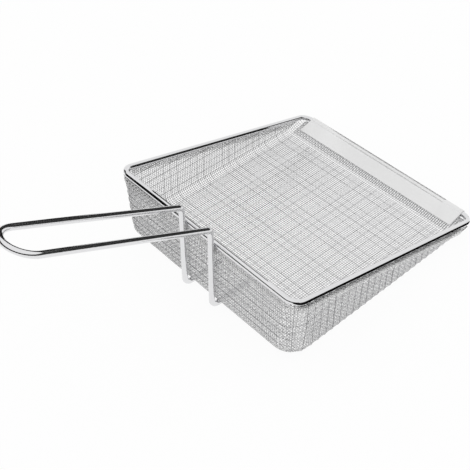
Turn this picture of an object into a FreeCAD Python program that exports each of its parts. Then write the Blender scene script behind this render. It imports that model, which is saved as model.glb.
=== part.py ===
import FreeCAD, Part
import math
import os
from FreeCAD import Vector

os.makedirs("parts", exist_ok=True)

# Frying strainer scoop: a pressed wire-cloth basket hung in a sloping wire rim, carried by one
# long bent handle wire that runs down its rear wall and ends in two short feet under its floor,
# with a sheet lip wired round the rim's low front side. Millimetres, +X towards the lip, +Z up,
# and the origin on the plane of the feet under the middle of the whole scoop.

# Round wire of the rim and the handle
WIRE_D = 5.0
WELD_GAP = 0.05             # wires that are welded together stand this far apart

# Rim loop, between wire centre lines
RIM_WIDTH = 200.0
RIM_RUN = 220.0             # level distance from the rear wire to the front wire
RIM_REAR_Z = 69.4
RIM_FRONT_Z = 12.5
RIM_CORNER_R = 10.0

# Handle wire
LEG_SPACING = 33.0          # between the two legs' centre lines
LEG_TOP_Z = 86.6            # where the legs' and the handle's centre lines cross
HANDLE_RISE_DEG = 26.5
HANDLE_STRAIGHT = 151.5     # from that crossing to the start of the round end
TOP_BEND_R = 6.0
FOOT_BEND_R = 7.0
FOOT_RUN = 40.0             # from the legs' centre lines forward to the wire's cut ends

# Wire cloth of the basket: a fine weave, drawn as one sheet with square openings, backed by a
# coarse grid, drawn as ridges between them
CLOTH_T = 1.0               # two crossing wires of the fine weave
FOLD_R = 7.0                # outside radius where the floor turns up into a wall
GRID_PITCH = 20.0           # from one opening or ridge to the next
RIDGE_W = 1.0
RIDGE_H = 0.45
RIDGE_ROOT = 0.1            # a ridge's foot reaches this far into the cloth
GAP_SIZE = 12.4             # side of a square opening
HEM_H = 5.0                 # cloth turned outward and down under the rim
HEM_GAP = 0.1               # the hem's outer face stands this far inside the rim wire's

CLIMB_RUN = 25.5            # the floor starts to climb to the lip this far behind the front wire

# Sheet lip
LIP_SHEET = 0.8
LIP_DEPTH = 17.4            # from the front wire's centre line back to the sheet's rear edge
LIP_REAR_Z = 10.0           # middle of the sheet at that edge
LIP_RISE_DEG = 15.0
LIP_BEND_R = 1.2            # middle of the sheet, where it turns up over the wire
ROLL_GAP = 0.1              # between the front wire and the inside of the roll
ROLL_END_DEG = 110.0        # where the roll stops, measured from the top round the rear side

# Worked out
WIRE_R = WIRE_D / 2
RISE = math.radians(HANDLE_RISE_DEG)
LIP_RISE = math.radians(LIP_RISE_DEG)
CLOTH_OUT = WIRE_R - CLOTH_T - HEM_GAP
FLOOR_Z = WIRE_D + WELD_GAP + RIDGE_H
FLOOR_TOP_Z = FLOOR_Z + CLOTH_T
ROLL_OUTER_R = WIRE_R + ROLL_GAP + LIP_SHEET
RIM_SLOPE = math.atan2(RIM_REAR_Z - RIM_FRONT_Z, RIM_RUN)
LEG_BEHIND = WIRE_D + WELD_GAP
LIP_LENGTH = RIM_WIDTH - 2 * RIM_CORNER_R
HANDLE_REACH = (HANDLE_STRAIGHT + LEG_SPACING / 2) * math.cos(RISE)
REAR_X = (LEG_BEHIND + HANDLE_REACH + WIRE_R - RIM_RUN - ROLL_OUTER_R) / 2
FRONT_X = REAR_X + RIM_RUN
LEG_X = REAR_X - LEG_BEHIND
CLIMB_X = FRONT_X - CLIMB_RUN
LIP_REAR_X = FRONT_X - LIP_DEPTH
FAR = 2 * (RIM_RUN + RIM_WIDTH)


def line(a, b):
    return Part.LineSegment(a, b).toShape()


def arc(centre, radius, start, end, ex, ez):
    """Arc from angle start to angle end in the plane of the unit vectors ex and ez."""
    def at(angle):
        return centre + ex * (radius * math.cos(angle)) + ez * (radius * math.sin(angle))
    return Part.Arc(at(start), at((start + end) / 2), at(end)).toShape()


def bent(points, radii):
    """Edges of a wire's centre line through points, with an arc of each radius at each inner point."""
    edges = []
    here = points[0]
    for before, corner, after, radius in zip(points, points[1:], points[2:], radii):
        back = (before - corner).normalize()
        ahead = (after - corner).normalize()
        half = back.getAngle(ahead) / 2
        reach = radius / math.tan(half)
        middle = (back + ahead).normalize()
        top = corner + middle * (radius / math.sin(half) - radius)
        edges.append(line(here, corner + back * reach))
        edges.append(Part.Arc(corner + back * reach, top, corner + ahead * reach).toShape())
        here = corner + ahead * reach
    edges.append(line(here, points[-1]))
    return edges


def round_wire(edges, start, direction):
    """Solid of the round wire along the edges of its centre line."""
    section = Part.Wire([Part.Circle(start, direction, WIRE_R).toShape()])
    return Part.Wire(edges).makePipeShell([section], True, False)


def rounded_plan(out):
    """Level outline that lies out beyond the rim's centre line all round."""
    r = RIM_CORNER_R + out
    x0 = REAR_X - out
    x1 = FRONT_X + out
    y1 = RIM_WIDTH / 2 + out
    xu = Vector(1, 0, 0)
    yu = Vector(0, 1, 0)
    q = math.pi / 2
    edges = [
        line(Vector(x0 + r, -y1, 0), Vector(x1 - r, -y1, 0)),
        arc(Vector(x1 - r, r - y1, 0), r, -q, 0, xu, yu),
        line(Vector(x1, r - y1, 0), Vector(x1, y1 - r, 0)),
        arc(Vector(x1 - r, y1 - r, 0), r, 0, q, xu, yu),
        line(Vector(x1 - r, y1, 0), Vector(x0 + r, y1, 0)),
        arc(Vector(x0 + r, y1 - r, 0), r, q, 2 * q, xu, yu),
        line(Vector(x0, y1 - r, 0), Vector(x0, r - y1, 0)),
        arc(Vector(x0 + r, r - y1, 0), r, 2 * q, 3 * q, xu, yu),
    ]
    return Part.Face(Part.Wire(edges))


def below_rim(depth):
    """Large block whose top face is parallel to the rim's plane and depth under it."""
    block = Part.makeBox(2 * FAR, 2 * FAR, FAR, Vector(-FAR, -FAR, -FAR - depth))
    block.rotate(Vector(0, 0, 0), Vector(0, 1, 0), math.degrees(RIM_SLOPE))
    block.translate(Vector(REAR_X, 0, RIM_REAR_Z))
    return block


def rim_wire():
    """Closed rounded rectangle of wire, butt welded, in one plane that slopes down to the front."""
    length = math.hypot(RIM_RUN, RIM_REAR_Z - RIM_FRONT_Z)
    w = RIM_WIDTH / 2
    start = Vector(length / 2, w, 0)
    corners = [start, Vector(length, w, 0), Vector(length, -w, 0), Vector(0, -w, 0), Vector(0, w, 0), start]
    loop = round_wire(bent(corners, [RIM_CORNER_R] * 4), start, Vector(1, 0, 0))
    loop.rotate(Vector(0, 0, 0), Vector(0, 1, 0), math.degrees(RIM_SLOPE))
    loop.translate(Vector(REAR_X, 0, RIM_REAR_Z))
    return loop


def handle_wire():
    """One wire: foot, leg, handle side, round end, and the same back on the other side."""
    back = Vector(-math.cos(RISE), 0, math.sin(RISE))

    def side(y):
        crossing = Vector(LEG_X, y, LEG_TOP_Z)
        return [
            Vector(LEG_X + FOOT_RUN, y, WIRE_R),
            Vector(LEG_X, y, WIRE_R),
            crossing,
            crossing + back * HANDLE_STRAIGHT,
        ]

    half = LEG_SPACING / 2
    left = side(half)
    right = side(-half)
    middle = Vector(LEG_X, 0, LEG_TOP_Z) + back * HANDLE_STRAIGHT
    round_end = Part.Arc(left[-1], middle + back * half, right[-1]).toShape()
    bends = [FOOT_BEND_R, TOP_BEND_R]
    edges = bent(left, bends) + [round_end] + bent(right[::-1], bends[::-1])
    return round_wire(edges, left[0], Vector(1, 0, 0))


def cloth_block(out, bottom, fold):
    """Upright block of the basket's plan, with its bottom edges rounded by fold."""
    block = rounded_plan(out).extrude(Vector(0, 0, RIM_REAR_Z))
    edges = [e for e in block.Edges if e.BoundBox.ZMax < fold]
    block = block.makeFillet(fold, edges)
    block.translate(Vector(0, 0, bottom))
    return block


def cells(low, high):
    """Middle of every grid cell that fits between low and high, centred between them."""
    count = int((high - low) / GRID_PITCH)
    first = (low + high - (count - 1) * GRID_PITCH) / 2
    return [first + i * GRID_PITCH for i in range(count)]


def seams(middles):
    """Borders between neighbouring grid cells."""
    return [middle + GRID_PITCH / 2 for middle in middles[:-1]]


def ridge(foot, run, out):
    """Rib of one grid wire, from foot along the vector run, standing out of the cloth along out."""
    half = run.cross(out).normalize() * (RIDGE_W / 2)
    root = foot - out * RIDGE_ROOT
    top = foot + out * RIDGE_H
    return Part.Face(Part.makePolygon([root + half, top, root - half, root + half])).extrude(run)


def grid():
    """Ridges of the coarse grid and the openings: lengthwise wires inside, cross wires outside."""
    wall = RIM_WIDTH / 2 + CLOTH_OUT
    rear = REAR_X - CLOTH_OUT
    straight_y = RIM_WIDTH / 2 - RIM_CORNER_R
    rear_x = REAR_X + RIM_CORNER_R
    front_x = FRONT_X - RIM_CORNER_R
    fold_z = FLOOR_Z + FOLD_R
    along = Vector(1, 0, 0)
    across = Vector(0, 1, 0)
    up = Vector(0, 0, 1)
    columns = cells(FOLD_R - wall, wall - FOLD_R)
    rows = cells(rear_x, CLIMB_X - FOLD_R)
    levels = cells(fold_z, RIM_REAR_Z - WIRE_R - HEM_H)
    wall_rise = up * (RIM_REAR_Z - fold_z)
    side_run = along * (front_x - rear_x)
    floor_start = rear + FOLD_R
    ridges = []
    for y in seams(columns):
        ridges.append(ridge(Vector(floor_start, y, FLOOR_TOP_Z), along * (CLIMB_X - floor_start), up))
        ridges.append(ridge(Vector(rear + CLOTH_T, y, fold_z), wall_rise, along))
    for x in seams(rows):
        ridges.append(ridge(Vector(x, FOLD_R - wall, FLOOR_Z), across * (2 * wall - 2 * FOLD_R), -up))
        for side in (-1, 1):
            ridges.append(ridge(Vector(x, side * wall, fold_z), wall_rise, across * side))
    for z in seams(levels):
        ridges.append(ridge(Vector(rear, -straight_y, z), across * (2 * straight_y), -along))
        for side in (-1, 1):
            ridges.append(ridge(Vector(rear_x, side * (wall - CLOTH_T), z), side_run, across * -side))

    def gap(x, y, z, through):
        size = Vector(*[4 * CLOTH_T if through == axis else GAP_SIZE for axis in "xyz"])
        return Part.makeBox(*size, Vector(x, y, z) - size / 2)

    def hem_edge(x):
        return RIM_REAR_Z - (x - REAR_X) * math.tan(RIM_SLOPE) - (WIRE_R + HEM_H) / math.cos(RIM_SLOPE)

    gaps = [gap(x, y, FLOOR_Z, "z") for x in rows for y in columns]
    for z in levels:
        gaps += [gap(rear, y, z, "x") for y in columns if abs(y) + GAP_SIZE / 2 < straight_y]
        for x in rows:
            if z + GAP_SIZE / 2 + RIDGE_W < hem_edge(x + GAP_SIZE / 2):
                gaps += [gap(x, side * wall, z, "y") for side in (-1, 1)]
    return ridges, gaps


def lip_underside(x):
    """Height of the underside of the lip's flat strip at x."""
    return LIP_REAR_Z + (x - LIP_REAR_X) * math.tan(LIP_RISE) - LIP_SHEET / 2 / math.cos(LIP_RISE)


def under_climb(drop):
    """Block whose top follows the cloth up from the floor and on under the lip, lowered by drop."""
    heights = [
        (CLIMB_X, FLOOR_TOP_Z - drop),
        (LIP_REAR_X, lip_underside(LIP_REAR_X) - WELD_GAP - drop),
        (FRONT_X, lip_underside(FRONT_X) - WELD_GAP - drop),
        (FRONT_X, 0),
        (CLIMB_X, 0),
    ]
    corners = [Vector(x, -FAR / 2, z) for x, z in heights]
    return Part.Face(Part.makePolygon(corners + corners[:1])).extrude(Vector(0, FAR, 0))


def mesh_basket():
    """Wire cloth pressed into a wedge: floor, upright walls and an outward hem under the rim."""
    outer = cloth_block(CLOTH_OUT, FLOOR_Z, FOLD_R).cut(under_climb(CLOTH_T))
    inner = cloth_block(CLOTH_OUT - CLOTH_T, FLOOR_TOP_Z, FOLD_R - CLOTH_T).cut(under_climb(0))
    under_wire = below_rim(WIRE_R + WELD_GAP)
    ridges, gaps = grid()
    hem = rounded_plan(CLOTH_OUT + CLOTH_T).extrude(Vector(0, 0, RIM_REAR_Z))
    hem.translate(Vector(0, 0, FLOOR_Z))
    hem = hem.cut(below_rim(WIRE_R + HEM_H)).cut(inner)
    tray = outer.cut(inner).cut(gaps).fuse([hem] + ridges).common(under_wire)
    front = FRONT_X - ROLL_OUTER_R - WELD_GAP
    behind_lip = Part.makeBox(FAR, FAR, FAR, Vector(front - FAR, -FAR / 2, 0))
    return tray.common(behind_lip).removeSplitter()


def lip():
    """Sheet strip that lies on the climbing cloth, its front rolled round the rim wire."""
    xu = Vector(1, 0, 0)
    zu = Vector(0, 0, 1)
    along = xu * math.cos(LIP_RISE) + zu * math.sin(LIP_RISE)
    up = zu * math.cos(LIP_RISE) - xu * math.sin(LIP_RISE)
    roll_r = WIRE_R + ROLL_GAP + LIP_SHEET / 2
    wire = Vector(FRONT_X, 0, RIM_FRONT_Z)
    rear = Vector(LIP_REAR_X, 0, LIP_REAR_Z)
    # the bend's centre is one bend radius above the strip and touches the roll from outside
    offset = wire - rear - up * LIP_BEND_R
    flat = offset.dot(along) - math.sqrt((roll_r + LIP_BEND_R) ** 2 - offset.dot(up) ** 2)
    bend = rear + along * flat + up * LIP_BEND_R
    toward = bend - wire
    meet = math.atan2(toward.z, toward.x)
    roll_end = math.radians(90 + ROLL_END_DEG) - 2 * math.pi
    bend_start = LIP_RISE - math.pi / 2
    bend_end = meet - math.pi

    def offset_edges(t):
        strip = line(rear + up * t, rear + along * flat + up * t)
        turn = arc(bend, LIP_BEND_R - t, bend_start, bend_end, xu, zu)
        roll = arc(wire, roll_r + t, meet, roll_end, xu, zu)
        return [strip, turn, roll]

    above = offset_edges(LIP_SHEET / 2)
    under = offset_edges(-LIP_SHEET / 2)
    rear_cut = line(rear + up * (LIP_SHEET / 2), rear - up * (LIP_SHEET / 2))
    end = xu * math.cos(roll_end) + zu * math.sin(roll_end)
    roll_cut = line(wire + end * (roll_r + LIP_SHEET / 2), wire + end * (roll_r - LIP_SHEET / 2))
    outline = Part.Wire(Part.__sortEdges__(above + under + [rear_cut, roll_cut]))
    sheet = Part.Face(outline).extrude(Vector(0, LIP_LENGTH, 0))
    sheet.translate(Vector(0, -LIP_LENGTH / 2, 0))
    return sheet


PIECES = {
    "rim_wire": rim_wire,
    "handle_wire": handle_wire,
    "mesh_basket": mesh_basket,
    "lip": lip,
}

for name, make in PIECES.items():
    make().exportStep("parts/" + name + ".step")
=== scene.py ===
"""Frying strainer scoop: a wire-cloth basket on a sloping wire rim, with a bent wire handle and a sheet lip.

Metres, +X towards the lip and +Z up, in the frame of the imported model.
"""

import math

import bmesh
import bpy
from mathutils import Matrix, Vector


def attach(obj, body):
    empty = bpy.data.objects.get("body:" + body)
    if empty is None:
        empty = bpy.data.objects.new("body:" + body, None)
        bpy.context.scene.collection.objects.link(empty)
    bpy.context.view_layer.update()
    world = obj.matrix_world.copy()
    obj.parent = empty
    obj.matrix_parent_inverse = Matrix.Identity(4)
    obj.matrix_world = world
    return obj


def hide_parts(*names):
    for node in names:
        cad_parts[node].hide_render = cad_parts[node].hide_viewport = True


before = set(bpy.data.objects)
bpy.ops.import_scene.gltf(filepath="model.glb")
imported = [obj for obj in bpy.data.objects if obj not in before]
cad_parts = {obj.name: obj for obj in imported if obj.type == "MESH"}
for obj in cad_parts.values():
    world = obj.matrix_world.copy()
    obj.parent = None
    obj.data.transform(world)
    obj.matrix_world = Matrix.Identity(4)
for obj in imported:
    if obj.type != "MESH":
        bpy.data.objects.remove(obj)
bpy.context.view_layer.update()


# Rim wire
# A closed loop of 5 mm chromed steel wire, bent to a rounded rectangle and butt welded. It slopes
# down from the rear to the front, and everything else of the scoop is welded to it or hung in it.

WIRE_R = 0.0025
WIRE_SIDES = 32
BEND_STEPS = 16
RIM_WIDTH = 0.2                      # between the centre lines of the two long wires
RIM_CORNER = 0.01
RIM_REAR = (-0.03275, 0.0694)        # x and z of the rear wire's centre line
RIM_FRONT = (0.18725, 0.0125)
CLOUD_SCALE = 90.0                   # of the soft dull patches in a bare metal
CLOUD_SHADE = 0.94                   # of the colour where a patch is thickest


class Signal:
    """One output of a node, which takes Python's arithmetic and adds the Math nodes for it."""

    def __init__(self, nodes, socket):
        self.nodes = nodes
        self.socket = socket

    def maths(self, operation, *others):
        return self.nodes.maths(operation, self, *others)

    def __add__(self, other):
        return self.nodes.maths("ADD", self, other)

    def __radd__(self, other):
        return self.nodes.maths("ADD", other, self)

    def __sub__(self, other):
        return self.nodes.maths("SUBTRACT", self, other)

    def __rsub__(self, other):
        return self.nodes.maths("SUBTRACT", other, self)

    def __mul__(self, other):
        return self.nodes.maths("MULTIPLY", self, other)

    def __rmul__(self, other):
        return self.nodes.maths("MULTIPLY", other, self)

    def __truediv__(self, other):
        return self.nodes.maths("DIVIDE", self, other)

    def __neg__(self):
        return self.nodes.maths("MULTIPLY", self, -1)


class Nodes:
    """Adds nodes to one tree, of shaders or of geometry."""

    def __init__(self, tree):
        self.tree = tree

    def add(self, kind, settings=None, inputs=None):
        """A new node, its settings first, then the values or links of its sockets by name or number."""
        node = self.tree.nodes.new(kind)
        for name, value in (settings or {}).items():
            setattr(node, name, value)
        for key, value in (inputs or {}).items():
            socket = node.inputs[key]
            if isinstance(value, Signal):
                self.tree.links.new(value.socket, socket)
            else:
                socket.default_value = value
        return node

    def get(self, kind, output, settings=None, inputs=None):
        """The named output of a new node."""
        return Signal(self, self.add(kind, settings, inputs).outputs[output])

    def maths(self, operation, *values):
        return self.get("ShaderNodeMath", 0, {"operation": operation}, dict(enumerate(values)))


def geometry_tree(name, inputs):
    """An empty geometry tree with these named inputs, and its input node's outputs by name."""
    tree = bpy.data.node_groups.new(name, "GeometryNodeTree")
    for label, kind in inputs.items():
        tree.interface.new_socket(label, in_out="INPUT", socket_type="NodeSocket" + kind)
    tree.interface.new_socket("Geometry", in_out="OUTPUT", socket_type="NodeSocketGeometry")
    nodes = Nodes(tree)
    start = nodes.add("NodeGroupInput")
    return nodes, {label: Signal(nodes, start.outputs[label]) for label in inputs}


def finish_tree(nodes, geometry, material):
    """Ends a geometry tree with smooth faces, real geometry and its material."""
    smooth = nodes.get("GeometryNodeSetShadeSmooth", 0, None, {"Geometry": geometry})
    real = nodes.get("GeometryNodeRealizeInstances", 0, None, {"Geometry": smooth})
    done = nodes.get("GeometryNodeSetMaterial", 0, None, {"Geometry": real, "Material": material})
    nodes.add("NodeGroupOutput", None, {0: done})
    return nodes.tree


def made_by(tree, name, values, base=None):
    """The plain mesh object that a geometry tree makes from these values of its inputs."""
    piece = bpy.data.objects.new(name, base or bpy.data.meshes.new(name))
    bpy.context.scene.collection.objects.link(piece)
    modifier = piece.modifiers.new("made", "NODES")
    modifier.node_group = tree
    for item in tree.interface.items_tree:
        if item.in_out == "INPUT" and item.name in values:
            modifier[item.identifier] = values[item.name]
    bpy.context.view_layer.update()
    evaluated = piece.evaluated_get(bpy.context.evaluated_depsgraph_get())
    mesh = bpy.data.meshes.new_from_object(evaluated)
    piece.modifiers.remove(modifier)
    piece.data = mesh
    mesh.name = name
    return piece


def metal(name, colour, roughness, grain_scale, grain_depth):
    """A bare metal with faint cloudy dulling, fine drawn marks and a shallow grain."""
    material = bpy.data.materials.new(name)
    material.use_nodes = True
    nodes = Nodes(material.node_tree)
    shader = material.node_tree.nodes["Principled BSDF"]
    place = nodes.get("ShaderNodeTexCoord", "Object")
    cloud = nodes.get("ShaderNodeTexNoise", "Fac", None, {
        "Vector": place, "Scale": CLOUD_SCALE, "Detail": 3.0,
    })
    speck = nodes.get("ShaderNodeTexNoise", "Fac", None, {
        "Vector": place, "Scale": grain_scale, "Detail": 2.0,
    })
    dull = roughness * (0.75 + 0.5 * cloud)
    tint = nodes.get(
        "ShaderNodeMix", 2, {"data_type": "RGBA"},
        {"Factor": cloud, 6: (*[c * CLOUD_SHADE for c in colour], 1), 7: (*colour, 1)},
    )
    bump = nodes.get("ShaderNodeBump", 0, None, {
        "Height": speck, "Distance": grain_depth, "Strength": 0.5,
    })
    shader.inputs["Metallic"].default_value = 1.0
    nodes.tree.links.new(tint.socket, shader.inputs["Base Color"])
    nodes.tree.links.new(dull.socket, shader.inputs["Roughness"])
    nodes.tree.links.new(bump.socket, shader.inputs["Normal"])
    return material


def path(name, points, bends, closed=False):
    """Mesh of a wire's corner points, each with the radius that it is bent to."""
    mesh = bpy.data.meshes.new(name)
    edges = [(i, i + 1) for i in range(len(points) - 1)]
    if closed:
        edges.append((len(points) - 1, 0))
    mesh.from_pydata(points, edges, [])
    mesh.attributes.new("bend", "FLOAT", "POINT").data.foreach_set("value", bends)
    return mesh


nodes, given = geometry_tree("Bent round wire", {
    "Geometry": "Geometry", "Wire radius": "Float", "Steps in a bend": "Int", "Sides": "Int",
    "Material": "Material",
})
line = nodes.get("GeometryNodeMeshToCurve", 0, None, {"Mesh": given["Geometry"]})
bend = nodes.get(
    "GeometryNodeInputNamedAttribute", "Attribute", {"data_type": "FLOAT"}, {"Name": "bend"},
)
line = nodes.get("GeometryNodeFilletCurve", 0, {"mode": "POLY"}, {
    "Curve": line, "Count": given["Steps in a bend"], "Radius": bend, "Limit Radius": True,
})
section = nodes.get("GeometryNodeCurvePrimitiveCircle", "Curve", {"mode": "RADIUS"}, {
    "Resolution": given["Sides"], "Radius": given["Wire radius"],
})
tube = nodes.get("GeometryNodeCurveToMesh", 0, None, {
    "Curve": line, "Profile Curve": section, "Fill Caps": True,
})
bent_wire = finish_tree(nodes, tube, given["Material"])

chrome = metal("Chromed wire", (0.80, 0.80, 0.81), 0.1, 2600.0, 0.00002)
corners = [
    (x, side * RIM_WIDTH / 2, z)
    for (x, z), sides in ((RIM_REAR, (1, -1)), (RIM_FRONT, (-1, 1)))
    for side in sides
]
THICK_WIRE = {
    "Wire radius": WIRE_R, "Steps in a bend": BEND_STEPS, "Sides": WIRE_SIDES, "Material": chrome,
}
rim = made_by(
    bent_wire, "rim_loop", THICK_WIRE, path("rim_path", corners, [RIM_CORNER] * 4, closed=True),
)
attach(rim, "root")
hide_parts("rim_wire")


# Handle wire
# One length of the same wire: two short feet under the floor turn up as legs behind the basket, bend
# sharply into the two sides of the handle and meet in a round end. Spot welded to the rim.

LEG_X = -0.0378                      # x of the legs' centre lines
LEG_TOP = 0.0866                     # height of the corner where a leg turns into the handle
LEG_HALF = 0.0165                    # half the distance between the legs, and the round end's radius
HANDLE_RISE = math.radians(26.5)
HANDLE_LENGTH = 0.1515 + LEG_HALF    # to the far side of the round end's centre line
FOOT_BEND = 0.007
TOP_BEND = 0.006
FOOT_RUN = 0.04


def handle_side(y):
    """Corner points of one side, from the foot's cut end to the corner of the round end."""
    end_x = LEG_X - HANDLE_LENGTH * math.cos(HANDLE_RISE)
    end_z = LEG_TOP + HANDLE_LENGTH * math.sin(HANDLE_RISE)
    return [(LEG_X + FOOT_RUN, y, WIRE_R), (LEG_X, y, WIRE_R), (LEG_X, y, LEG_TOP), (end_x, y, end_z)]


bends = [0, FOOT_BEND, TOP_BEND, LEG_HALF]
both_sides = handle_side(LEG_HALF) + handle_side(-LEG_HALF)[::-1]
handle = made_by(
    bent_wire, "handle_loop", THICK_WIRE, path("handle_path", both_sides, bends + bends[::-1]),
)
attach(handle, "root")
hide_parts("handle_wire")


# Wire cloth
# Plain-woven fine wire, backed by a coarse grid of stiffer wires, pressed into a wedge with a level
# floor and upright walls. Every wire is real: it runs over and under its neighbours, up the walls,
# and stops under the rim.

FINE_R = 0.00029
FINE_SIDES = 4
MIDDLE_OUT = 0.0009                  # the cloth's middle, outside the rim's centre line
FOLD = 0.0065                        # radius of the bend from floor to wall
HALF_FLOOR = RIM_WIDTH / 2 + MIDDLE_OUT - FOLD    # where the floor starts to turn up to the sides
ACROSS = 95                          # wires lengthwise on the floor
PITCH = 2 * HALF_FLOOR / (ACROSS - 1)
FLOOR = 0.006                        # height of the cloth's middle
CLIMB_X = RIM_FRONT[0] - 0.0255      # where the floor starts to climb to the lip
LIP_REAR_X = RIM_FRONT[0] - 0.0174
UNDER_LIP = 0.00904                  # height of the cloth's middle under the lip's rear edge
LIP_SLOPE = math.tan(math.radians(15))
REAR_FOLD_X = RIM_REAR[0] - MIDDLE_OUT + FOLD
FLOOR_END = 0.1836
RIM_SLOPE = (RIM_REAR[1] - RIM_FRONT[1]) / (RIM_FRONT[0] - RIM_REAR[0])
UNDER_RIM = (WIRE_R + 0.00005) * math.hypot(1, RIM_SLOPE)    # the cloth stops just under the rim wire
ROUNDER_BELOW = 0.13                 # growth of the corners' radius per metre below the rim

nodes, given = geometry_tree("Wires of the basket", {
    "Wires": "Int", "Points on a wire": "Int", "Start": "Vector", "Step to next wire": "Vector",
    "Step along wire": "Vector", "Wire radius": "Float", "Weave": "Float", "Weave phase": "Int",
    "Stand-off": "Float", "Hangs from rim": "Float", "Trim slack": "Float", "Unevenness": "Float",
    "Sides": "Int", "Material": "Material",
})
line = nodes.get("GeometryNodeCurvePrimitiveLine", "Curve")
line = nodes.get("GeometryNodeResampleCurve", "Curve", None, {
    "Curve": line, "Count": given["Points on a wire"],
})
lines = nodes.get("GeometryNodeDuplicateElements", "Geometry", {"domain": "SPLINE"}, {
    "Geometry": line, "Amount": given["Wires"],
})
index = nodes.get("GeometryNodeInputIndex", 0)
wire = (index / given["Points on a wire"]).maths("FLOOR")
step = index - wire * given["Points on a wire"]


def parts(vector):
    """The x, y and z of a vector."""
    split = nodes.add("ShaderNodeSeparateXYZ", None, {0: vector})
    return [Signal(nodes, output) for output in split.outputs]


def joined(x, y, z):
    """The vector of these three."""
    return nodes.get("ShaderNodeCombineXYZ", 0, None, {0: x, 1: y, 2: z})


# the cloth laid flat: u is measured forward from the rear fold and v across, and what lies past a
# fold is wall
start = parts(given["Start"])
per_wire = parts(given["Step to next wire"])
per_step = parts(given["Step along wire"])
u, v = (start[i] + wire * per_wire[i] + step * per_step[i] for i in (0, 1))
hangs = given["Hangs from rim"]
across = v.maths("ABSOLUTE")
side = v.maths("SIGN")
is_rear = u.maths("LESS_THAN", -1e-6)
is_side = across.maths("GREATER_THAN", HALF_FLOOR + 1e-6)
is_wall = is_rear.maths("MAXIMUM", is_side)
climb = (-u).maths("MAXIMUM", across - HALF_FLOOR).maths("MAXIMUM", 0)
flat_x = u.maths("MAXIMUM", 0) + REAR_FOLD_X
flat_y = across.maths("MINIMUM", HALF_FLOOR)

# the corners are pressed rounder towards the floor than at the rim, where the hem hangs
wall_height = (RIM_REAR[1] - FLOOR - (flat_x - RIM_REAR[0]) * RIM_SLOPE - climb).maths("MAXIMUM", 0)
corner = RIM_CORNER + MIDDLE_OUT + wall_height * ROUNDER_BELOW * (1 - hangs)
rear_centre = RIM_REAR[0] - MIDDLE_OUT + corner
front_centre = RIM_FRONT[0] + MIDDLE_OUT - corner
straight_half = RIM_WIDTH / 2 + MIDDLE_OUT - corner
past_rear = (rear_centre - flat_x).maths("MAXIMUM", 0)
past_front = (flat_x - front_centre).maths("MAXIMUM", 0)
past_end = past_rear + past_front
past_side = (flat_y - straight_half).maths("MAXIMUM", 0)
around_rear = past_side.maths("ARCTAN2", corner - FOLD)
around_side = past_end.maths("ARCTAN2", corner - FOLD)

turn = (climb / FOLD).maths("MINIMUM", math.pi / 2)
turn = turn * (1 - hangs) + hangs * (math.pi / 2)
inset = FOLD * (1 - turn.maths("SINE"))
rise = FOLD * (1 - turn.maths("COSINE")) + (climb - FOLD * math.pi / 2).maths("MAXIMUM", 0)
from_corner = (past_end * past_end + past_side * past_side).maths("SQRT")
into_fold = (from_corner - (corner - FOLD)).maths("MAXIMUM", 0).maths("MINIMUM", FOLD * 0.999)
floor_rise = FOLD - (FOLD * FOLD - into_fold * into_fold).maths("SQRT")


def choose(mask, when_true, when_false):
    """The first value where the mask is 1 and the second where it is 0."""
    return when_true * mask + when_false * (1 - mask)


# round a corner, each wall's wires fan out from the corner's centre as far as the middle of the corner
reach = corner - inset
which_end = (past_front - past_rear).maths("SIGN")
along_side = flat_x.maths("MAXIMUM", rear_centre).maths("MINIMUM", front_centre)
along_rear = flat_y.maths("MINIMUM", straight_half)
x = choose(
    is_rear, rear_centre - reach * around_rear.maths("COSINE"),
    choose(is_side, along_side + which_end * reach * around_side.maths("SINE"), flat_x),
)
y = side * choose(
    is_rear, along_rear + reach * around_rear.maths("SINE"),
    choose(is_side, straight_half + reach * around_side.maths("COSINE"), flat_y),
)
under_rim = RIM_REAR[1] - UNDER_RIM - (x - RIM_REAR[0]) * RIM_SLOPE
first_climb = FLOOR + (x - CLIMB_X) * ((UNDER_LIP - FLOOR) / (LIP_REAR_X - CLIMB_X))
under_lip = UNDER_LIP + (x - LIP_REAR_X) * LIP_SLOPE
floor = first_climb.maths("MINIMUM", under_lip).maths("MAXIMUM", FLOOR)
z = choose(
    hangs, (under_rim - climb).maths("MAXIMUM", floor), floor + choose(is_wall, rise, floor_rise),
)

# which way is out of the cloth, for the weave and for what lies on the cloth
lean = choose(is_wall, turn.maths("SINE"), into_fold / FOLD)
drop = (1 - lean * lean).maths("MAXIMUM", 0).maths("SQRT")
toward_end = past_front - past_rear
out_x = choose(
    is_rear, -around_rear.maths("COSINE"),
    choose(is_side, which_end * around_side.maths("SINE"), toward_end / (from_corner + 1e-6)),
)
out_y = side * choose(
    is_rear, around_rear.maths("SINE"),
    choose(is_side, around_side.maths("COSINE"), past_side / (from_corner + 1e-6)),
)
swing = ((wire + step * 0.5 + given["Weave phase"]) * math.pi).maths("COSINE")
offset = given["Stand-off"] + given["Weave"] * swing
height = z.maths("MINIMUM", under_rim)
place = joined(x + out_x * lean * offset, y + out_y * lean * offset, height - drop * offset)
wander = nodes.get("ShaderNodeTexNoise", "Color", {"noise_dimensions": "3D"}, {
    "Vector": joined(x, y, z), "Scale": 45.0, "Detail": 1.0,
})
wander = nodes.get(
    "ShaderNodeVectorMath", 0, {"operation": "SUBTRACT"}, {0: wander, 1: (0.5, 0.5, 0.5)},
)
wander = nodes.get(
    "ShaderNodeVectorMath", 0, {"operation": "SCALE"}, {0: wander, "Scale": given["Unevenness"]},
)
place = nodes.get("ShaderNodeVectorMath", 0, {"operation": "ADD"}, {0: place, 1: wander})

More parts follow.
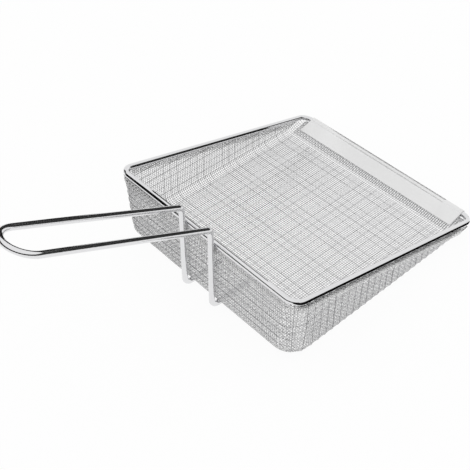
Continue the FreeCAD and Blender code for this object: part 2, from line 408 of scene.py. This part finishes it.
# a wall's wires end at the rim, and in a corner none lies where the floor's own wires already are
fold_start = (into_fold / FOLD).maths("ARCSINE") * FOLD
past_rim = is_wall * z.maths("GREATER_THAN", under_rim + given["Trim slack"])
doubled = is_wall * (1 - hangs) * climb.maths("LESS_THAN", fold_start)
gone = past_rim.maths("MAXIMUM", doubled)
marked = nodes.get("GeometryNodeStoreNamedAttribute", 0, {"data_type": "FLOAT", "domain": "POINT"}, {
    "Geometry": lines, "Name": "gone", "Value": gone,
})
laid = nodes.get("GeometryNodeSetPosition", 0, None, {"Geometry": marked, "Position": place})
mark = nodes.get(
    "GeometryNodeInputNamedAttribute", "Attribute", {"data_type": "FLOAT"}, {"Name": "gone"},
)
cut = nodes.get("GeometryNodeDeleteGeometry", 0, {"domain": "POINT"}, {
    "Geometry": laid, "Selection": mark.maths("GREATER_THAN", 0.5),
})
points_left = nodes.get("GeometryNodeSplineLength", "Point Count")
cut = nodes.get("GeometryNodeDeleteGeometry", 0, {"domain": "CURVE"}, {
    "Geometry": cut, "Selection": points_left.maths("LESS_THAN", 1.5),
})
section = nodes.get("GeometryNodeCurvePrimitiveCircle", "Curve", {"mode": "RADIUS"}, {
    "Resolution": given["Sides"], "Radius": given["Wire radius"],
})
tubes = nodes.get("GeometryNodeCurveToMesh", 0, None, {
    "Curve": cut, "Profile Curve": section, "Fill Caps": True,
})
basket_wires = finish_tree(nodes, tubes, given["Material"])

FINE_GRAIN = (5200.0, 0.00002)       # scale and depth
cloth_steel = metal("Wire cloth", (0.68, 0.68, 0.69), 0.22, *FINE_GRAIN)
# a lighter copy of the wire cloth's steel for the walls' level wires and the hem: painted light, the extra
# brightness stands for light those wires catch
painted_light_steel = metal("Wall and hem wires, painted light", (0.92, 0.92, 0.92), 0.22, *FINE_GRAIN)
# near-black steel: the grid wires' shade and dark reflections painted into their colour
painted_shade_grid_steel = metal("Grid wire, painted shade", (0.15, 0.15, 0.155), 0.25, *FINE_GRAIN)
floor_steps = round((FLOOR_END - REAR_FOLD_X) / PITCH)
wall_steps = 34                      # enough for the highest wall, and cut off at the rim
FINE = {
    "Wire radius": FINE_R, "Weave": FINE_R, "Unevenness": 0.0005, "Sides": FINE_SIDES,
    "Material": cloth_steel,
}


def run(name, wires, crossings, start, per_wire, per_crossing, phase, slack, **other):
    """Parallel wires, with a point at each crossing and one between."""
    half_step = (per_crossing[0] / 2, per_crossing[1] / 2, 0.0)
    values = dict(FINE)
    values.update({
        "Wires": wires, "Points on a wire": 2 * crossings - 1, "Start": (*start, 0.0),
        "Step to next wire": (*per_wire, 0.0), "Step along wire": half_step,
        "Weave phase": phase, "Trim slack": slack,
    })
    values.update({key.replace("_", " "): value for key, value in other.items()})
    return made_by(basket_wires, name, values)


def one_piece(name, pieces):
    """Joins several mesh objects into one."""
    joined_mesh = bmesh.new()
    for piece in pieces:
        joined_mesh.from_mesh(piece.data)
    first = pieces[0]
    joined_mesh.to_mesh(first.data)
    joined_mesh.free()
    for piece in pieces[1:]:
        bpy.data.objects.remove(piece)
    first.name = name
    first.data.name = name
    return first


FORWARD = (PITCH, 0.0)
BACK = (-PITCH, 0.0)
LEFT = (0.0, PITCH)
RIGHT = (0.0, -PITCH)
along_floor = floor_steps + 1        # crosswise wires of the floor, and crossings on a side wall's wire

# from the floor's front end over the floor and up the rear wall
half = ACROSS // 2
lengthwise = [
    run(name, count, along_floor + wall_steps, (floor_steps * PITCH, first * PITCH - HALF_FLOOR),
        LEFT, BACK, floor_steps % 2 + first, PITCH)
    for name, first, count in (
        ("cloth_wires_lengthwise_right", 0, half),
        ("cloth_wires_lengthwise_left", half, ACROSS - half),
    )
]

# down the right wall, over the floor and up the left wall
split = floor_steps // 2
crosswise = [
    run(name, count, ACROSS + 2 * wall_steps, (first * PITCH, -HALF_FLOOR - wall_steps * PITCH),
        FORWARD, LEFT, 1 + wall_steps % 2 + first, PITCH)
    for name, first, count in (
        ("cloth_wires_crosswise_rear", 0, split),
        ("cloth_wires_crosswise_front", split, along_floor - split),
    )
]

# the level wires of the three walls, in a lighter copy of the cloth's steel: painted light
left_start = HALF_FLOOR + PITCH
LEVEL = {"Material": painted_light_steel}
level = one_piece("cloth_wires_level", [
    run("rear_level", wall_steps, ACROSS, (-PITCH, -HALF_FLOOR), BACK, LEFT, 0, 0.0, **LEVEL),
    run("left_level", wall_steps, along_floor, (0.0, left_start), LEFT, FORWARD, ACROSS % 2, 0.0, **LEVEL),
    run("right_level", wall_steps, along_floor, (0.0, -left_start), RIGHT, FORWARD, 1, 0.0, **LEVEL),
])

# the cloth's edge, turned outward under the rim wire and hanging down outside the wall, in the same lighter
# steel: painted light
HEM_ROWS = 4
HEM_DROP = 0.0003                    # of its first row below the end of the wall
HEM = {"Hangs_from_rim": 1.0, "Stand-off": 0.001, "Material": painted_light_steel}
rear_edge = (-HEM_DROP, -HALF_FLOOR)
left_edge = (0.0, HALF_FLOOR + HEM_DROP)
right_edge = (0.0, -HALF_FLOOR - HEM_DROP)
hem = one_piece("cloth_hem", [
    run("hem_rear", ACROSS, HEM_ROWS, rear_edge, LEFT, BACK, 0, 0.0, **HEM),
    run("hem_left", along_floor, HEM_ROWS, left_edge, FORWARD, LEFT, 0, 0.0, **HEM),
    run("hem_right", along_floor, HEM_ROWS, right_edge, FORWARD, RIGHT, 0, 0.0, **HEM),
    run("hem_rear_row", HEM_ROWS, ACROSS, rear_edge, BACK, LEFT, 1, 0.0, **HEM),
    run("hem_left_row", HEM_ROWS, along_floor, left_edge, LEFT, FORWARD, 1, 0.0, **HEM),
    run("hem_right_row", HEM_ROWS, along_floor, right_edge, RIGHT, FORWARD, 1, 0.0, **HEM),
])

# the cloth's front end, folded back under the floor where it climbs to the lip, and frayed at its edge;
# its wires are painted dark, as painted shade by the lip
FOLD_CROSSINGS = 10
FOLD_ROWS = 5
# dark steel for the doubled cloth: the shade by the lip painted into its colour
painted_shade_fold_steel = metal("Doubled cloth at the lip, painted shade", (0.3, 0.3, 0.305), 0.25, *FINE_GRAIN)
FRONT_FOLD = {"Stand-off": 2 * FINE_R + 0.0007, "Material": painted_shade_fold_steel}
front_edge = (floor_steps * PITCH, -HALF_FLOOR)
front_fold = one_piece("cloth_front_fold", [
    run("fold_lengthwise", ACROSS, FOLD_CROSSINGS, front_edge, LEFT, BACK, 1, 0.0, **FRONT_FOLD),
    run("fold_crosswise", FOLD_ROWS, ACROSS, front_edge, BACK, LEFT, 0, 0.0, **FRONT_FOLD),
])

# the coarse grid's wires: those along the scoop, and the side walls' level ones, lie inside the fine
# cloth, and those across it and the rear wall's level ones outside; their near-black colour is painted shade
GRID_R = 0.00013
GRID_PITCH = 0.0076
GRID_OFF = 0.00065                   # from the cloth's middle
GRID = {"Weave": 0.0, "Unevenness": 0.0004, "Material": painted_shade_grid_steel}
INSIDE = {**GRID, "Wire_radius": 0.8 * GRID_R, "Stand-off": -GRID_OFF}
OUTSIDE = {**GRID, "Wire_radius": GRID_R, "Stand-off": GRID_OFF}
ON_SIDE_WALLS = {**INSIDE, "Wire_radius": 1.3 * GRID_R}
GRID_LEFT = (0.0, GRID_PITCH)
GRID_RIGHT = (0.0, -GRID_PITCH)
columns = int(2 * HALF_FLOOR / GRID_PITCH)
first_column = -GRID_PITCH * columns / 2
rows = int((CLIMB_X - REAR_FOLD_X) / GRID_PITCH)
fine_steps = round((CLIMB_X - REAR_FOLD_X) / PITCH)
levels = int(wall_steps * PITCH / GRID_PITCH)
side_start = HALF_FLOOR + GRID_PITCH
grid = one_piece("grid_wires", [
    run("grid_lengthwise", columns + 1, fine_steps + wall_steps, (fine_steps * PITCH, first_column),
        GRID_LEFT, BACK, 0, PITCH, **INSIDE),
    run("grid_crosswise", rows + 1, ACROSS + 2 * wall_steps, (0.0, -HALF_FLOOR - wall_steps * PITCH),
        (GRID_PITCH, 0.0), LEFT, 0, PITCH, **OUTSIDE),
    run("grid_rear", levels, ACROSS, (-GRID_PITCH, -HALF_FLOOR),
        (-GRID_PITCH, 0.0), LEFT, 0, 0.0, **OUTSIDE),
    run("grid_left", levels, along_floor, (0.0, side_start), GRID_LEFT, FORWARD, 0, 0.0, **ON_SIDE_WALLS),
    run("grid_right", levels, along_floor, (0.0, -side_start), GRID_RIGHT, FORWARD, 0, 0.0, **ON_SIDE_WALLS),
])
for piece in (*lengthwise, *crosswise, level, hem, front_fold, grid):
    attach(piece, "root")
    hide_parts("mesh_basket")


# Lip
# A strip of 0.8 mm sheet, satin plated. Its flat lies on the cloth's climbing edge, turns up over
# the front wire in a shallow bend and is rolled right round it, so the cloth's end is pinched under.

LIP_HALF = 0.09
LIP_REAR_Z = 0.01                    # height of the sheet's middle at its rear edge
SHEET = 0.0008
LIP_RISE = math.radians(15)
LIP_BEND = 0.0012
ROLL_CLEARANCE = 0.0001              # between the wire and the sheet round it
ROLL = WIRE_R + ROLL_CLEARANCE + SHEET / 2
ROLL_END = math.radians(200 - 360)
FLAT_STEPS = 12
LIP_BEND_STEPS = 8
ROLL_STEPS = 40
EDGE_ROUNDING = 0.00012
LIP_ROWS = 60
SMOOTH_BELOW = math.radians(38)
along = Vector((math.cos(LIP_RISE), math.sin(LIP_RISE)))
up = Vector((-math.sin(LIP_RISE), math.cos(LIP_RISE)))
rear = Vector((LIP_REAR_X, LIP_REAR_Z))
wire_centre = Vector(RIM_FRONT)
from_bend = wire_centre - rear - up * LIP_BEND
flat = from_bend.dot(along) - math.sqrt((ROLL + LIP_BEND) ** 2 - from_bend.dot(up) ** 2)
bend_centre = rear + along * flat + up * LIP_BEND
meet = math.atan2(*(bend_centre - wire_centre).yx)


def on_circle(centre, radius, angle):
    """The place on a circle at this angle from +X."""
    return centre + Vector((math.cos(angle), math.sin(angle))) * radius


# the sheet's middle and its upward normal at each place from the rear edge to the roll's end
middle = [(rear + along * (flat * i / FLAT_STEPS), up) for i in range(FLAT_STEPS + 1)]
for i in range(1, LIP_BEND_STEPS + 1):
    angle = LIP_RISE - math.pi / 2 + (meet - math.pi / 2 - LIP_RISE) * i / LIP_BEND_STEPS
    middle.append((on_circle(bend_centre, LIP_BEND, angle), -on_circle(Vector((0, 0)), 1, angle)))
for i in range(1, ROLL_STEPS + 1):
    angle = meet + (ROLL_END - meet) * i / ROLL_STEPS
    middle.append((on_circle(wire_centre, ROLL, angle), on_circle(Vector((0, 0)), 1, angle)))


def lip_outline():
    """Both faces of the sheet, with its two cut edges slightly rounded."""
    top = [place + normal * (SHEET / 2) for place, normal in middle]
    under = [place - normal * (SHEET / 2) for place, normal in middle]
    inward = (middle[1][0] - middle[0][0]).normalized() * EDGE_ROUNDING
    thinner = middle[0][1] * EDGE_ROUNDING
    top = [top[0] - thinner, top[0] + inward] + top[1:]
    under = [under[0] + thinner, under[0] + inward] + under[1:]
    inward = (middle[-2][0] - middle[-1][0]).normalized() * EDGE_ROUNDING
    thinner = middle[-1][1] * EDGE_ROUNDING
    top = top[:-1] + [top[-1] + inward, top[-1] - thinner]
    under = under[:-1] + [under[-1] + inward, under[-1] + thinner]
    return top + under[::-1]


outline = lip_outline()
lip_mesh = bmesh.new()
rings_of_lip = []
for row in range(LIP_ROWS + 1):
    y = LIP_HALF * (2 * row / LIP_ROWS - 1)
    rings_of_lip.append([lip_mesh.verts.new((x, y, z)) for x, z in outline])
for one, two in zip(rings_of_lip, rings_of_lip[1:]):
    for i in range(len(outline)):
        j = (i + 1) % len(outline)
        lip_mesh.faces.new((one[i], one[j], two[j], two[i]))
lip_mesh.faces.new(rings_of_lip[0][::-1])
lip_mesh.faces.new(rings_of_lip[-1])
bmesh.ops.recalc_face_normals(lip_mesh, faces=lip_mesh.faces)
for face in lip_mesh.faces:
    face.smooth = len(face.verts) == 4
lip_data = bpy.data.meshes.new("lip_sheet")
lip_mesh.to_mesh(lip_data)
lip_mesh.free()
lip_data.set_sharp_from_angle(angle=SMOOTH_BELOW)
lip = bpy.data.objects.new("lip_sheet", lip_data)
bpy.context.scene.collection.objects.link(lip)

satin = bpy.data.materials.new("Satin plated sheet")
satin.use_nodes = True
nodes = Nodes(satin.node_tree)
shader = satin.node_tree.nodes["Principled BSDF"]
place = nodes.get("ShaderNodeTexCoord", "Object")
stretched = nodes.get("ShaderNodeMapping", 0, None, {"Vector": place, "Scale": (900.0, 22.0, 900.0)})
brushed = nodes.get("ShaderNodeTexNoise", "Fac", None, {"Vector": stretched, "Scale": 1.0, "Detail": 4.0})
cloud = nodes.get("ShaderNodeTexNoise", "Fac", None, {"Vector": place, "Scale": 35.0, "Detail": 3.0})
tint = nodes.get("ShaderNodeMix", 2, {"data_type": "RGBA"}, {
    "Factor": cloud, 6: (0.79, 0.79, 0.79, 1), 7: (0.86, 0.86, 0.86, 1),
})
dull = 0.3 + 0.12 * brushed + 0.06 * cloud
bump = nodes.get("ShaderNodeBump", 0, None, {"Height": brushed, "Distance": 0.00003, "Strength": 0.5})
shader.inputs["Metallic"].default_value = 1.0
satin.node_tree.links.new(tint.socket, shader.inputs["Base Color"])
satin.node_tree.links.new(dull.socket, shader.inputs["Roughness"])
satin.node_tree.links.new(bump.socket, shader.inputs["Normal"])
lip_data.materials.append(satin)
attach(lip, "root")
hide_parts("lip")


# Studio
# A white table in even white light from all round. Black and white cards, as a photographer sets up
# round bright metal, give the wires their bands: only mirror reflections show them.

TABLE_HALF = 3
TABLE_Z = -0.0002
TABLE_GLOW = 0.93                    # how much of plain white the camera and mirror reflections see
SKY = 0.98
floor_mesh = bpy.data.meshes.new("table")
table_corners = [(x * TABLE_HALF, y * TABLE_HALF, TABLE_Z) for x, y in ((-1, -1), (1, -1), (1, 1), (-1, 1))]
floor_mesh.from_pydata(table_corners, [], [(0, 1, 2, 3)])
table = bpy.data.objects.new("table", floor_mesh)
bpy.context.scene.collection.objects.link(table)
white = bpy.data.materials.new("White table")
white.use_nodes = True
nodes = Nodes(white.node_tree)
shader = white.node_tree.nodes["Principled BSDF"]
shader.inputs["Base Color"].default_value = (0.9, 0.9, 0.9, 1)
shader.inputs["Roughness"].default_value = 0.9
from_camera = nodes.get("ShaderNodeLightPath", "Is Camera Ray")
from_mirror = nodes.get("ShaderNodeLightPath", "Is Glossy Ray")
glow = nodes.get("ShaderNodeEmission", 0, None, {"Color": (1, 1, 1, 1), "Strength": 1.0})
mixed = nodes.get("ShaderNodeMixShader", 0, None, {
    0: (from_camera + from_mirror) * TABLE_GLOW, 1: Signal(nodes, shader.outputs[0]), 2: glow,
})
surface = white.node_tree.nodes["Material Output"].inputs["Surface"]
white.node_tree.links.new(mixed.socket, surface)
floor_mesh.materials.append(white)

world = bpy.data.worlds.new("Soft light")
world.use_nodes = True
bpy.context.scene.world = world
background = world.node_tree.nodes["Background"]
background.inputs["Color"].default_value = (1, 1, 1, 1)
background.inputs["Strength"].default_value = SKY



def matt(name, grey):
    """Matt paint, the same grey from everywhere."""
    material = bpy.data.materials.new(name)
    material.use_nodes = True
    paint = material.node_tree.nodes["Principled BSDF"]
    paint.inputs["Base Color"].default_value = (grey, grey, grey, 1)
    paint.inputs["Roughness"].default_value = 1.0
    paint.inputs["Specular IOR Level"].default_value = 0.0
    return material


black = matt("Black card", 0.01)
bright = bpy.data.materials.new("White card")
bright.use_nodes = True
paint = bright.node_tree.nodes["Principled BSDF"]
paint.inputs["Base Color"].default_value = (0, 0, 0, 1)
paint.inputs["Emission Color"].default_value = (1, 1, 1, 1)
paint.inputs["Emission Strength"].default_value = 0.9


def card(name, material, corners, faces=((0, 1, 2, 3),)):
    """A card that only mirror reflections show."""
    card_mesh = bpy.data.meshes.new(name)
    card_mesh.from_pydata(corners, [], faces)
    piece = bpy.data.objects.new(name, card_mesh)
    bpy.context.scene.collection.objects.link(piece)
    card_mesh.materials.append(material)
    for kind in ("camera", "diffuse", "shadow", "transmission", "volume_scatter"):
        setattr(piece, "visible_" + kind, False)


# a dark screen right round the table, which the round wires mirror as their dark bands
SCREEN_R = 2.6
SCREEN_FOOT = 0.16
SCREEN_TOP = SCREEN_R * math.tan(math.radians(34))
SCREEN_SIDES = 64
turns = [2 * math.pi * i / SCREEN_SIDES for i in range(SCREEN_SIDES)]
screen = [
    (SCREEN_R * math.cos(angle), SCREEN_R * math.sin(angle), z)
    for z in (SCREEN_FOOT, SCREEN_TOP)
    for angle in turns
]
panels = []
for i in range(SCREEN_SIDES):
    j = (i + 1) % SCREEN_SIDES
    panels.append((i, j, j + SCREEN_SIDES, i + SCREEN_SIDES))
card("dark_screen", matt("Dark screen", 0.04), screen, panels)


def rail_card(name, material, side, first_x, last_x, near, far):
    """A card along one long rim wire: its two long edges are given as (left of the wire, above it)."""
    ends = [(x, RIM_REAR[1] - (x - RIM_REAR[0]) * RIM_SLOPE) for x in (first_x, last_x)]
    corners = [(x, side * RIM_WIDTH / 2 + near[0], z + near[1]) for x, z in ends]
    corners += [(x, side * RIM_WIDTH / 2 + far[0], z + far[1]) for x, z in ends[::-1]]
    card(name, material, corners)


rail_card("card_below_right_rail", black, -1, -0.04, 0.2, (-0.0057, 0.0036), (-0.0032, -0.0056))
rail_card("card_above_right_rail", bright, -1, -0.03, 0.287, (-0.05, 0.003), (0.02, 0.03))
rail_card("card_inside_left_rail", black, 1, -0.02, 0.16, (-0.03, 0.014), (-0.03, -0.014))
rail_card("card_beyond_left_rail", bright, 1, -0.03, 0.25, (0.03, 0.001), (-0.016, 0.026))
rail_card("card_beyond_right_rail", bright, -1, -0.03, 0.25, (0.03, 0.001), (0.02, 0.03))
card("card_behind_left", black, [
    (-0.074, y, z) for y, z in ((0.07, 0.045), (0.145, 0.045), (0.145, 0.18), (0.07, 0.18))
])


# Camera
# Behind the handle and to the right of it, looking down at the scoop from about 44 degrees. It is
# rolled by a fifth of a degree.

CAMERA_PLACE = (-0.34684, -0.37922, 0.54644)
CAMERA_HEADING = math.radians(-42.602)
CAMERA_DOWN = math.radians(44.298)
CAMERA_ROLL = math.radians(0.195)
camera_data = bpy.data.cameras.new("camera")
camera_data.sensor_width = 36.0
camera_data.lens = 69.117
camera_data.clip_start = 0.01
camera = bpy.data.objects.new("camera", camera_data)
bpy.context.scene.collection.objects.link(camera)
camera.matrix_world = (
    Matrix.Translation(CAMERA_PLACE)
    @ Matrix.Rotation(CAMERA_HEADING, 4, "Z")
    @ Matrix.Rotation(math.pi / 2 - CAMERA_DOWN, 4, "X")
    @ Matrix.Rotation(CAMERA_ROLL, 4, "Z")
)
bpy.context.scene.camera = camera
bpy.context.scene.view_settings.view_transform = "Standard"

bpy.context.view_layer.update()
